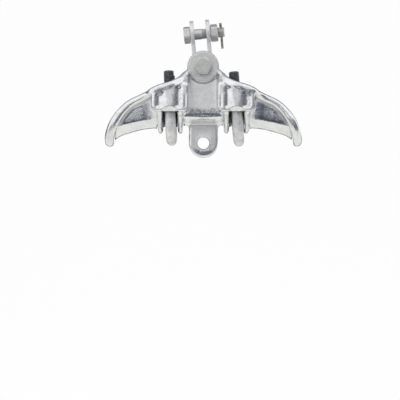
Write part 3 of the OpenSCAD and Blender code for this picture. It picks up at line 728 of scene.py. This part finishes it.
# The ground ear faces, the centre panels and the tongue are duller than the rest. Mottled painted shade
# gathers at the foot of the panels, in the arms and beside the columns, and the tongue grows darker below
# the eye.
def markFinish(shape, beadPath):
    c, share, mesh = casting, markShares, shape.data
    places = np.empty(len(mesh.vertices) * 3)
    mesh.vertices.foreach_get("co", places)
    x, y, z = places.reshape(-1, 3).T
    y, far = abs(y), abs(x)
    fromPivot, belowEye = np.hypot(x, z - c["pivotZ"]), -(z + c["tieDrop"])
    fromEye = np.hypot(x, belowEye)
    fromBolt, eyeR, face = abs(far - c["boltX"]), c["tieHole"] / 2, c["bossY"]
    grow = lambda value, low, high: np.clip((value - low) / (high - low), 0, 1)
    between = lambda value, low, high: (value > low) & (value < high)
    bySide = lambda pair: np.where(x < 0, *pair)

    ear = (y > c["earOut"] - 1.2) & (fromPivot < c["earRadius"] - 1)
    panel = (far < 22.5) & between(y, c["panelWall"] - 1, c["panelWall"] + 1.5) & between(z, -10, 42)
    inTongue = np.where(belowEye < 0, far, fromEye)
    tongue = (y > 7) & (inTongue < c["tongueWidth"] / 2 - 3.4) & (z < -28) & (fromEye > eyeR + 1.6)

    above = z - creaseZ(x)
    toBead, inward = np.full(len(far), 1e3), np.zeros(len(far))
    front = beadPath[:len(beadPath) // 2 + 1]
    for (px, py, pz, radius), (qx, _, qz, _) in zip(front, front[1:]):
        gap = np.sqrt((far - px) ** 2 + (y - py) ** 2 + (z - pz) ** 2) - radius
        length = max(hypot(qx - px, qz - pz), 1e-6)
        side = ((far - px) * (qz - pz) - (z - pz) * (qx - px)) / length / radius
        inward = np.where(gap < toBead, side, inward)
        toBead = np.minimum(toBead, gap)
    # Painted shade and reflection in the arms' recess, mottled, darker by the crease and on the right arm;
    # the bead's inner flank gets a painted dark reflection
    arm = (between(y, 20, 50) & (above > 0.3)) * grow(far, 75, 79)
    flankReflection = arm * (toBead < 2.6) * grow(inward, 0.72, 0.95)
    arm = arm * grow(toBead, 0.4, 2.4)
    # Painted shade at the foot of the centre panels
    foot = (far < 26) & between(y, 24, c["panelWall"] + 1.5) & (above > 0.3)
    # Painted shade in the sunk panels beside the columns
    column = between(y, face - 6, face - 0.8) & (x - np.sign(x) * c["boltX"] > 2) & between(z, -3, 33)
    # On the tongue the mottled mark only grows darker further below the eye
    mottledShade = np.max([foot * share["footShade"] * (1 - grow(above, 9, 20)),
                   arm * (bySide(share["armShade"]) + share["creaseShade"] * (1 - grow(above, 2, 9))),
                   column * between(far, 32, 71) * share["columnShade"],
                   tongue * grow(belowEye, 2, 14) * share["tongueLowDark"]], axis=0)

    # deep: painted shade and painted reflection in gaps, corners, under overhangs and on rims, and a darker
    # tone on the ears and the tongue
    fromEar = fromPivot - c["earRadius"]
    # Painted shadow in a crescent under each ear
    shadowUnderEar = between(fromEar, -0.6, 2.2) & (y > 26) & (z < c["pivotZ"] - 12)
    # Painted shade in the gaps between the U-bolts and the ribs, fading out downwards
    half = c["channelWidth"] / 2
    channel = (1 - grow(fromBolt, half - 0.9, half - 0.2)) * between(z, -c["ribDrop"] + 3, -c["bossFloor"])
    # Painted shade under the sunk panels' ceilings, beside the columns
    ceiling = np.interp(far, front[:, 0], front[:, 2]) - 7.6
    eaves = (abs(z - ceiling) < 1.8) & between(y, face - 5.5, face - 0.9)
    eaves = eaves & between(far, 32, 71.5) & (fromBolt > 8.5)
    # Painted shade in the corner at the tongue's root
    rootShade = (far < c["tongueWidth"] / 2 - 1) & between(y, 6, 9.5) & between(z, -27.2, -24.5)
    # Painted shadow on the top of the tie hole's wall
    eye = (fromEye < eyeR + 0.4) & (y < 7) & (belowEye < 0)
    # Painted dark reflection round the ears' rims
    earRimReflection = (abs(fromEar) < 1.3) & (y > c["earOut"] - 3) & (z > c["pivotZ"] - 20)
    # On the ears deep is twice as strong round the bolt head, a painted shade ring; elsewhere on the ears
    # and on the tongue it is a darker tone
    deep = np.max([shadowUnderEar * share["shadowUnderEar"], channel * (y < face - 7) * (1 - grow(-z, 23, 38)),
                   arm * bySide(share["arm"]), flankReflection * bySide(share["flankReflection"]), eaves * share["eaves"],
                   rootShade * share["rootShade"], ear * share["ear"] * (2 - grow(fromPivot, 12.8, 15)),
                   eye * share["eye"], earRimReflection * share["earRimReflection"], tongue * share["tongue"]], axis=0)
    for name, values in (("matte", ear | panel | tongue), ("mottledShade", mottledShade), ("deep", deep)):
        mesh.attributes.new(name, "FLOAT", "POINT").data.foreach_set("value", np.asarray(values, float))


castBody, beadPath = buildCasting()
markFinish(castBody, beadPath)
castFinish = castMaterial("castAluminium", castLook)
finishPiece(castBody, "clampCasting", "casting", ["clamp_body"], castFinish, 40)
print("casting built,", len(castBody.data.polygons), "faces")

# Finishes of the fittings

zincBase = {"hollowDark": 0.7, "wornShare": 0.5, "bump": 0.35, "bumpDepth": 0.0006, "metallic": 0.9}
zincLooks = {
    "galvanisedStrap": dict(zincBase, spangle=210, cloud=60, pale=(0.92, 0.92, 0.93),
        grey=(0.76, 0.77, 0.79), dark=(0.26, 0.26, 0.27), worn=(0.84, 0.84, 0.84), roughness=(0.46, 0.62),
        bump=0.25),
    "galvanisedRod": dict(zincBase, spangle=320, cloud=90, pale=(0.95, 0.95, 0.95),
        grey=(0.6, 0.61, 0.62), dark=(0.24, 0.24, 0.25), worn=(0.8, 0.8, 0.8), roughness=(0.42, 0.62),
        bump=0.4, bumpDepth=0.0008, metallic=0.62),
    "galvanisedNut": dict(zincBase, spangle=420, cloud=130, pale=(0.66, 0.66, 0.65),
        grey=(0.48, 0.48, 0.47), dark=(0.2, 0.2, 0.2), worn=(0.76, 0.76, 0.75), roughness=(0.38, 0.58)),
    "linkSteel": dict(zincBase, spangle=380, cloud=110, pale=(0.84, 0.84, 0.82), grey=(0.64, 0.64, 0.62),
        dark=(0.16, 0.155, 0.14), worn=(0.72, 0.7, 0.66), roughness=(0.36, 0.56)),
    "trunnionSteel": dict(zincBase, spangle=300, cloud=80, pale=(0.8, 0.8, 0.78), grey=(0.54, 0.54, 0.52),
        dark=(0.17, 0.165, 0.155), worn=(0.92, 0.91, 0.88), roughness=(0.45, 0.62)),
    "springSteel": dict(zincBase, spangle=500, cloud=150, pale=(0.4, 0.41, 0.43), grey=(0.26, 0.27, 0.29),
        dark=(0.12, 0.12, 0.13), worn=(0.6, 0.6, 0.6), roughness=(0.3, 0.45), bump=0.25, bumpDepth=0.0004,
        metallic=1.0),
    "cotterWire": dict(zincBase, spangle=700, cloud=260, pale=(0.21, 0.2, 0.18), grey=(0.08, 0.075, 0.07),
        dark=(0.06, 0.055, 0.05), worn=(0.52, 0.5, 0.45), roughness=(0.28, 0.45), bump=0.25,
        bumpDepth=0.0003, metallic=1.0),
    "darkThread": dict(zincBase, spangle=500, cloud=160, pale=(0.27, 0.28, 0.3),
        grey=(0.13, 0.135, 0.145), dark=(0.03, 0.03, 0.035), worn=(0.2, 0.21, 0.22),
        roughness=(0.42, 0.6), bump=0.3, bumpDepth=0.0004, metallic=0.6)}
finishes = {name: zincMaterial(name, look) for name, look in zincLooks.items()}

# Threads, hexagons and bolts

thread = {"pitch": 2.0, "depth": 1.15, "steps": 6}
hexagon = {"acrossFlats": 24, "corner": 13.5, "chamferStart": 11.35, "chamferSlope": 1.75, "face": 10.6,
           "headThick": 10, "sides": 72, "chamfer": (0.3, 0.5, 0.75, 1.0, 1.3, 1.7)}


def threadRadius(outer, angle, along, fade=1.0):
    phase = (along / thread["pitch"] - angle / (2 * pi)) % 1.0
    crest = min(max(abs(2 * phase - 1) * 1.35 - 0.15, 0.0), 1.0)
    return outer - thread["depth"] * fade * (1 - crest)


# Radius of a chamfered hexagon at a depth below its face
def hexRadius(angle, fromFace):
    flat = hexagon["acrossFlats"] / 2
    local = (angle + pi / 6) % (pi / 3) - pi / 6
    sharp = flat / cos(local)
    chamfer = hexagon["chamferStart"] + hexagon["chamferSlope"] * fromFace
    return min(sharp, hexagon["corner"], chamfer)


def addRing(rings, z, radius):  # a radius, or a rule that gives one for each angle
    reach = radius if callable(radius) else lambda a: radius
    turns = [2 * pi * k / hexagon["sides"] for k in range(hexagon["sides"])]
    rings.append([(reach(a) * cos(a), reach(a) * sin(a), z) for a in turns])


def buildBolt(shankLength, threadFrom, headTurn, holeAt, holeRadius=2.3, radius=8):
    rings, offset, top = [], radians(headTurn), -hexagon["headThick"]
    addRing(rings, top, 6.0)
    addRing(rings, top + 0.05, hexagon["face"])
    for depth in (0.12, *hexagon["chamfer"]):
        addRing(rings, top + depth, lambda a: hexRadius(a - offset, depth))
    addRing(rings, -0.9, lambda a: hexRadius(a - offset, 9))
    addRing(rings, -0.45, lambda a: min(hexRadius(a - offset, 9), 13.0))
    collar = ((-0.4, 11.6), (0.0, 11.4), (0.0, radius + 0.25), (0.4, radius), (threadFrom - 0.01, radius))
    for z, reach in collar:
        addRing(rings, z, reach)
    step = thread["pitch"] / thread["steps"]
    for i in range(1, int((shankLength - threadFrom) / step) + 1):
        z = threadFrom + i * step
        fade = min(i * step / 3.0, 1.0)
        limit = radius - max(0.0, z - (shankLength - 1.6)) * 1.05
        addRing(rings, z, lambda a: min(threadRadius(radius, a, z, fade), limit))
    addRing(rings, shankLength, radius - 2.0)
    bolt = skin(rings)
    hole = placed(rod(holeRadius, -radius - 2, radius + 2, 32), shift(0, 0, holeAt) @ turn(90, "Y"))
    return subtract(bolt, hole)


def buildNut(thick, radius=8):
    rings, depths = [], (0.05, 0.15, *hexagon["chamfer"])
    addRing(rings, 0, hexagon["face"])
    for depth in depths:
        addRing(rings, depth, lambda a: hexRadius(a, depth))
    for depth in reversed(depths):
        addRing(rings, thick - depth, lambda a: hexRadius(a, depth))
    addRing(rings, thick, hexagon["face"])
    addRing(rings, thick, radius + 0.7)
    count = int(thick / (thread["pitch"] / thread["steps"]))
    for i in range(count, -1, -1):
        z = thick * i / count
        least = max(radius + 0.1, radius + 0.7 - min(z, thick - z) * 0.8)
        addRing(rings, z, lambda a: max(threadRadius(radius + 1.25, a, z), least))
    addRing(rings, 0, radius + 0.7)
    return skin(rings, loop=True)


# The link bolt, its nut and the trunnion bolt, its nut

hanger = {"lean": 5, "pivotZ": 60, "height": 53.5, "eyeRadius": 21, "thick": 6, "width": 30, "gap": 18,
          "neck": 10, "bendUp": 0.7, "holeRadius": 8.6, "voxel": 0.6, "rounds": 3, "faceLimit": 60000}
link = {"grip": 15.3, "tail": 10, "nut": 11.5, "headTurn": 20, "nutTurn": 30, "threadFrom": 16}
trunnion = {"grip": 32.8, "tail": 15, "nut": 11.5, "headTurn": 28, "nutTurn": 0, "threadFrom": 52,
            "pivotZ": 60}
cotter = {"wire": 1.1, "pinRadius": 2.0, "length": 33, "tip": 7, "eye": 2.2, "eyeUp": 3.4, "spread": 12,
          "up": 8.3}

hangerFrame = shift(0, 0, hanger["pivotZ"]) @ turn(-hanger["lean"], "Y")
alongX = turn(90, "Y")


def buildHanger():
    h = hanger
    outer = h["gap"] / 2 + h["thick"]
    halfW, r, n = h["width"] / 2, h["eyeRadius"], h["neck"]
    drop = sqrt((r + n) ** 2 - (halfW + n) ** 2)
    touch = degrees(asin(drop / (r + n)))
    outline = arc(0, h["height"], r, -touch, 180 + touch, 72)
    outline += arc(-halfW - n, h["height"] - drop, n, touch, 0, 12)[1:] + [(-halfW, h["bendUp"])]
    outline += [(halfW, h["bendUp"])] + arc(halfW + n, h["height"] - drop, n, 180, 180 - touch, 12)[:-1]
    inner = h["gap"] / 2
    bend = arc(0, h["bendUp"], outer, 180, 360, 48) + arc(0, h["bendUp"], inner, 360, 180, 48)
    strap = prismY(bend, -halfW, halfW)
    union(strap, prismX(outline, -outer, -inner), prismX(outline, inner, outer))
    castSkin(strap, h["voxel"], h["rounds"], h["faceLimit"])
    subtract(strap, placed(rod(h["holeRadius"], -outer - 5, outer + 5), shift(0, 0, h["height"]) @ alongX))
    return placed(strap, hangerFrame)


finishPiece(buildHanger(), "hangerStrap", "hanger", ["hanger_strap"],
            finishes["galvanisedStrap"], 50)
print("hanger strap built")

linkPlace = hangerFrame @ shift(0, 0, hanger["height"]) @ alongX
trunnionPlace = shift(0, 0, trunnion["pivotZ"]) @ turn(-90, "X")
for word, b, place in (("link", link, linkPlace), ("trunnion", trunnion, trunnionPlace)):
    body, slotName, look = word + "_pin", word + "_fastener", finishes[word + "Steel"]
    shank = 2 * b["grip"] + b["nut"] + b["tail"]
    bolt = buildBolt(shank, b["threadFrom"], b["headTurn"], shank - b["tail"] / 2)
    placed(bolt, place @ shift(0, 0, -b["grip"]))
    finishPiece(bolt, word + "Bolt", body, [word + "_bolt"], look)
    nut = placed(buildNut(b["nut"]), place @ shift(0, 0, b["grip"]) @ turn(b["nutTurn"], "Z"))
    finishPiece(nut, word + "Nut", body, [word + "_nut"], look)
print("bolts and nuts built")


# Half-round wire: up one leg, round the eye and down the other
def buildCotter():
    c = cotter
    straight, side, points = c["length"] - c["tip"], c["pinRadius"] * 0.5, []
    tipX = side + c["tip"] * sin(radians(c["spread"]))
    for i in range(9):
        t = i / 8
        x = tipX * (1 - t) + side * t - 0.35 * sin(pi * t)
        points.append((x, -straight - c["tip"] * (1 - t) * 0.98))
    points += [(side, -straight + straight * i / 10) for i in range(1, 10)]
    points += arc(0, c["eyeUp"], c["eye"], -68, 248, 32)
    points += [(-x, z) for x, z in points[17::-1]]
    path, depth, rings = [Vector((x, 0, z)) for x, z in points], Vector((0, 1, 0)), []
    half = [(c["wire"] * (0.9 * cos(a) - 0.45), c["pinRadius"] * 0.92 * sin(a))
            for a in (radians(-90 + 180 * k / 8) for k in range(9))]
    for i, p in enumerate(path):
        along = (path[min(i + 1, len(path) - 1)] - path[max(i - 1, 0)]).normalized()
        rings.append([p + along.cross(depth) * out + depth * y for out, y in half])
    return skin(rings)


linkPinX, trunnionPinY = (b["grip"] + b["nut"] + b["tail"] / 2 for b in (link, trunnion))
for word, place in (("link", hangerFrame @ shift(linkPinX, 0, hanger["height"]) @ turn(90, "Z")),
                    ("trunnion", shift(0, trunnionPinY, trunnion["pivotZ"]))):
    pin = placed(buildCotter(), place @ shift(0, 0, cotter["up"]))
    finishPiece(pin, word + "Cotter", word + "_pin", [word + "_cotter_pin"],
                finishes["cotterWire"], 40)
print("cotter pins built")

# The keeper that saddles the conductor, and the U-bolts with what is on them

keeper = {"length": 150, "half": 12, "lugThick": 9, "lugWidth": 31, "gripRadius": 14.5, "edge": 2,
          "sagRadius": 400, "grooveRadius": 17, "boltX": 50, "legY": 30, "holeRadius": 9.5, "seat": 0.6,
          "voxel": 0.9, "rounds": 4, "faceLimit": 90000}


def buildKeeper():
    k = keeper
    centreR = k["sagRadius"] + k["grooveRadius"]
    low = -sqrt(k["grooveRadius"] ** 2 - k["half"] ** 2) + k["seat"]
    high = k["lugThick"] + k["sagRadius"] - sqrt(k["sagRadius"] ** 2 - k["boltX"] ** 2)
    halfGrip = k["half"] - 2
    gripZ = low - sqrt(k["gripRadius"] ** 2 - halfGrip ** 2)
    span, e, h = degrees(asin(k["length"] / 2 / centreR)), k["edge"], k["half"]
    underside = [(y, gripZ + sqrt(k["gripRadius"] ** 2 - y * y))
                 for y in np.linspace(halfGrip, -halfGrip, 25)]
    outline = [(-h, low), (-h, high - e), (-h + e, high), (h - e, high), (h, high - e), (h, low)] + underside

    def alongGroove(section, reach):  # a section swept along the groove's own arc
        rings = []
        for a in np.linspace(-reach, reach, 61):
            s, c = sin(radians(a)), cos(radians(a))
            rings.append([((centreR + z) * s, y, (centreR + z) * c - centreR) for y, z in section])
        return skin(rings)

    bar = alongGroove(outline, span)
    r = k["lugWidth"] / 2
    plan = arc(0, k["legY"], r, 0, 180, 36) + arc(0, -k["legY"], r, 180, 360, 36)
    for x in (-k["boltX"], k["boltX"]):
        union(bar, placed(prismZ(plan, 0, k["lugThick"]), shift(x, 0, 0)))
    subtract(bar, alongGroove(circle(k["gripRadius"], 72, 0, gripZ), span + 2))
    castSkin(bar, k["voxel"], k["rounds"], k["faceLimit"])
    for x in (-k["boltX"], k["boltX"]):
        for y in (-k["legY"], k["legY"]):
            subtract(bar, placed(rod(k["holeRadius"], -5, k["lugThick"] + 5), shift(x, y, 0)))
    return bar


keeperLook = dict(castLook, pale=(0.82, 0.825, 0.83), grey=(0.64, 0.655, 0.68), roughness=(0.26, 0.44))
keeperFinish = castMaterial("keeperAluminium", keeperLook)
finishPiece(buildKeeper(), "keeperSaddle", "keeper", ["keeper"], keeperFinish, 50)
print("keeper built")

uBolt = {"boltX": 50, "legY": 30, "radius": 8, "top": 54, "bendZ": -19, "threadTo": 2, "darkFrom": 26,
         "lean": {-1: 2, 1: 4.5}, "sink": {-1: 0, 1: 1.5}, "tiltZ": 0.1, "lugTop": 9, "fitGap": 0.3}
stack = {"washerD": 30, "washerThick": 3, "springThick": 4, "nut": 11.5}


def uPlace(side):
    u = uBolt
    return shift(side * u["boltX"], 0, u["tiltZ"]) @ turn(-u["lean"][side], "Y") @ shift(0, 0, -u["tiltZ"])


# One rod: down the rear leg, round the bend and up the front leg, with a thread cut on both ends
def buildUBolt():
    u, sides, rings, marks = uBolt, 48, [], []
    r, legL = u["radius"], u["top"] - u["bendZ"]
    across = Vector((1, 0, 0))
    threadL = u["top"] - u["threadTo"]
    step = thread["pitch"] / thread["steps"]
    fromTop = [0.0] + [i * step for i in range(1, int(threadL / step))]
    fromTop += [threadL + (legL - threadL) * i / 10 for i in range(11)]

    def ring(centre, along, fromEnd):
        w = along.cross(across)
        fade = min(max((threadL - fromEnd) / 4, 0.0), 1.0)
        limit = r - 3 + sqrt(9 - max(0.0, 3 - fromEnd) ** 2)
        points = []
        for k in range(sides):
            a = 2 * pi * k / sides
            q = min(threadRadius(r, a, fromEnd if along.z < 0 else -fromEnd, fade) if fade > 0 else r, limit)
            points.append(centre + (across * cos(a) + w * sin(a)) * q)
        rings.append(points)
        marks.append(u["top"] - u["darkFrom"] > fromEnd)

    for d in fromTop:
        ring(Vector((0, u["legY"], u["top"] - d)), Vector((0, 0, -1)), d)
    for i in range(1, 48):
        a = pi * i / 48
        ring(Vector((0, u["legY"] * cos(a), u["bendZ"] - u["legY"] * sin(a))),
             Vector((0, -sin(a), -cos(a))), legL)
    for d in reversed(fromTop):
        ring(Vector((0, -u["legY"], u["top"] - d)), Vector((0, 0, 1)), d)
    rodShape = skin(rings)
    for face in rodShape.data.polygons:
        row = min(face.vertices) // sides
        face.material_index = 1 if marks[min(row, len(marks) - 1)] else 0
    return rodShape


def buildFlatWasher():
    r, t, e = stack["washerD"] / 2, stack["washerThick"], 0.35
    outer = [(0, r - e), (e, r), (t - e, r), (t, r - e)]
    bore = [(t, 8.9), (t - e, 8.55), (e, 8.55), (0, 8.9)]
    return turned(outer + bore, 72, loop=True)


# A split ring whose two cut ends stand a little apart
def buildSpringWasher():
    inner, outer, t, rings = 8.3, 12.2, stack["springThick"], []
    skew = 0.35 / outer
    for i in range(65):
        a = radians(6 + 348 * i / 64)
        slip = 0.25 * (i / 64 - 0.5)
        low, high = 0.25 + slip, t - 0.25 + slip
        section = [(inner, low), (outer - 0.3, low + 0.15), (outer, low + 0.5), (outer, high - 0.5),
                   (outer - 0.3, high - 0.15), (inner, high)]
        section = [(q, z, a + skew * (z - t / 2)) for q, z in section]
        rings.append([(q * cos(b), q * sin(b), z) for q, z, b in section])
    return skin(rings)


for side, word in ((-1, "left"), (1, "right")):
    u = uBolt
    lean = radians(u["lean"][side])
    seatZ = u["lugTop"] + u["fitGap"] - u["tiltZ"] + stack["washerD"] / 2 * sin(lean)
    washerZ = u["tiltZ"] + seatZ / cos(lean)
    springZ = washerZ + stack["washerThick"]
    nutZ = springZ + stack["springThick"]
    place, body, label = uPlace(side), word + "_u_bolt", word.capitalize()
    finishPiece(placed(buildUBolt(), place @ shift(0, 0, -u["sink"][side])), "uBolt" + label, body,
                ["u_bolt_" + word], [finishes["galvanisedRod"], finishes["darkThread"]])
    for end, where in ((-1, "front"), (1, "rear")):
        at = lambda z, spin: place @ shift(0, end * u["legY"], z) @ turn(spin, "Z")
        tail, ends = "_" + word + "_" + where, label + where.capitalize()
        finishPiece(placed(buildFlatWasher(), at(washerZ, 0)), "flatWasher" + ends, body,
                    ["flat_washer" + tail], finishes["galvanisedNut"])
        finishPiece(placed(buildSpringWasher(), at(springZ, 70)), "springWasher" + ends, body,
                    ["spring_washer" + tail], finishes["springSteel"])
        finishPiece(placed(buildNut(stack["nut"]), at(nutZ, 10 * side + 17 * end)), "nut" + ends, body,
                    ["nut" + tail], finishes["galvanisedNut"])
print("U-bolts, washers and nuts built")
